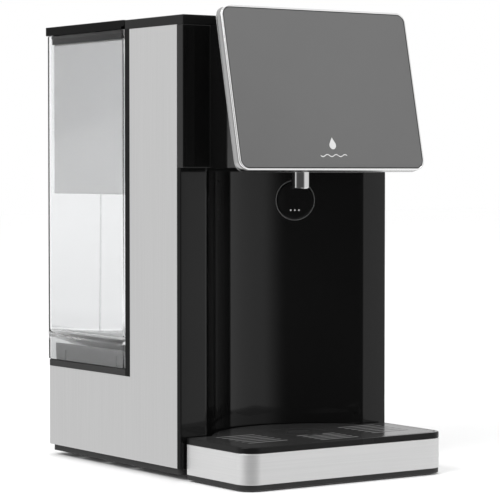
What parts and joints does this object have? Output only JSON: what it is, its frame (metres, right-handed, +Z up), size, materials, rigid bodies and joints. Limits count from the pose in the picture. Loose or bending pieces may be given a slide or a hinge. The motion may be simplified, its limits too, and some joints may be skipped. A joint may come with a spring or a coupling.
{
  "type": "countertop water dispenser",
  "caption": "Countertop hot water dispenser with a tilted display head, steel side panels, clear lift-off rear tank, slotted drip tray and reset key.",
  "frame": {"origin": "on the surface it stands on, under the middle of the whole object's box", "axes": "+X to the right seen from the front, +Y to the back, +Z up; the display and drip tray face -Y"},
  "size_m": [0.173, 0.253, 0.3152],
  "materials": {
    "brushed_steel": "brushed",
    "satin_chrome": "satin and polished",
    "gloss_black": "gloss",
    "matte_black": "fine matte",
    "dark_grey_plastic": "matte",
    "display_glass": "gloss",
    "clear_plastic": "clear",
    "frosted_plastic": "frosted",
    "rubber": "matte",
    "silicone": "satin",
    "white_plastic": "matte",
    "circuit_board": "satin",
    "screw_steel": "plain",
    "heater_steel": "satin",
    "aluminium": "satin",
    "ring_grey": "satin"
  },
  "bodies": {
    "housing": {"base_plate": "matte_black", "base_feet": "rubber", "case_screws": "screw_steel", "column_shell": "matte_black", "left_side_panel": "brushed_steel", "right_side_panel": "brushed_steel", "front_panel": "gloss_black", "top_cover": "gloss_black", "reset_ring": "ring_grey", "reset_switch": "dark_grey_plastic", "reset_bracket": "dark_grey_plastic", "head_housing": "gloss_black", "head_bottom": "gloss_black", "display_glass": "display_glass", "display_frame": "satin_chrome", "display_board": "circuit_board", "display_back": "matte_black", "display_ribbon": "white_plastic", "spout_sleeve": "satin_chrome", "spout_nozzle": "silicone", "outlet_chamber": "white_plastic", "heater_body": "heater_steel", "heater_caps": "white_plastic", "heater_bracket": "aluminium", "heater_sensors": "aluminium", "flow_meter_body": "white_plastic", "flow_meter_cap": "white_plastic", "pump_head": "dark_grey_plastic", "pump_motor": "heater_steel", "pump_bracket": "aluminium", "pump_mounts": "rubber", "tank_hose": "silicone", "pump_hose": "silicone", "heater_hose": "silicone", "outlet_hose": "silicone", "hose_clamps": "screw_steel", "power_board": "circuit_board", "power_relay": "dark_grey_plastic", "heat_sink": "aluminium", "mains_terminal": "white_plastic", "rear_cover": "matte_black", "cord_gland": "matte_black", "tank_platform": "dark_grey_plastic", "socket_seal": "silicone"},
    "tank": {"tank_body": "clear_plastic", "hinge_pin": "screw_steel", "filter_hopper": "frosted_plastic", "tank_valve": "dark_grey_plastic", "valve_spring": "screw_steel"},
    "valve_plunger": {"valve_plunger": "white_plastic", "valve_seal": "silicone"},
    "lid": {"tank_lid": "gloss_black", "lid_seal": "rubber"},
    "tray": {"drip_tray": "matte_black", "tray_band": "brushed_steel"},
    "grid": {"drip_grid": "matte_black"},
    "reset_key": {"reset_button": "gloss_black"},
    "impeller": {"pump_impeller": "white_plastic"},
    "turbine": {"flow_turbine": "ring_grey"}
  },
  "joints": [
    {"name": "tank_lift", "type": "slide", "parent": "housing", "child": "tank", "axis": [0, 0, 1], "range_m": [0, 0.245]},
    {"name": "lid_hinge", "type": "hinge", "parent": "tank", "child": "lid", "pos_m": [0, 0.0172, 0.3081], "axis": [1, 0, 0], "range_deg": [0, 92]},
    {"name": "valve_push", "type": "slide", "parent": "tank", "child": "valve_plunger", "axis": [0, 0, 1], "range_m": [0, 0.0015], "stiffness_N_per_m": 150, "springref_m": -0.004, "deforming": ["valve_spring"]},
    {"name": "tray_slide", "type": "slide", "parent": "housing", "child": "tray", "axis": [0, -1, 0], "range_m": [0, 0.12]},
    {"name": "grid_lift", "type": "slide", "parent": "tray", "child": "grid", "axis": [0, 0, 1], "range_m": [0, 0.06]},
    {"name": "reset_press", "type": "slide", "parent": "housing", "child": "reset_key", "axis": [0.3584, 0.9336, 0], "range_m": [0, 0.0015], "stiffness_N_per_m": 400, "springref_m": -0.001},
    {"name": "impeller_spin", "type": "hinge", "parent": "housing", "child": "impeller", "pos_m": [0.03, 0.003, 0.03], "axis": [1, 0, 0], "continuous": true},
    {"name": "turbine_spin", "type": "hinge", "parent": "housing", "child": "turbine", "pos_m": [-0.014, 0.03, 0.03], "axis": [0, 0, 1], "continuous": true}
  ]
}
